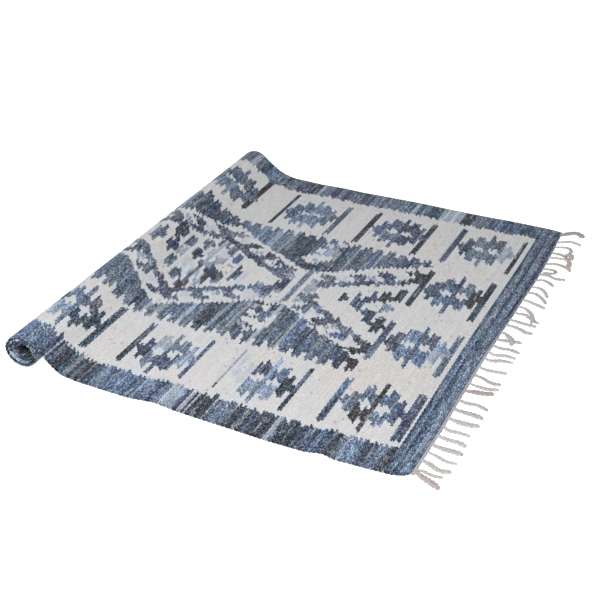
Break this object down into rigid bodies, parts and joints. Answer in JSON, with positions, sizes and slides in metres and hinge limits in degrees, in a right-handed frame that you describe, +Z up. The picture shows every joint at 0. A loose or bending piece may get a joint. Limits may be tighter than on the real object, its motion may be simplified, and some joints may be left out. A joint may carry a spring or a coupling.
{
  "type": "rag rug",
  "caption": "Flat-woven rag rug laid out on the floor, one end rolled under into a loose roll, with a cotton fringe along the open end.",
  "frame": {"origin": "middle of the footprint, on the floor that the rug lies on", "axes": "+X from the roll towards the fringed end, +Y across the width from the near selvedge to the far one, +Z up"},
  "size_m": [1.2992, 1.4212, 0.0978],
  "materials": {
    "denim_weave": "matt weft-faced weave of blue, charcoal and pale cotton strips",
    "cotton_fringe": "matt undyed cotton yarn, knotted and lightly frayed"
  },
  "bodies": {
    "root": {"rug": "denim_weave", "fringe": "cotton_fringe"}
  },
  "joints": []
}
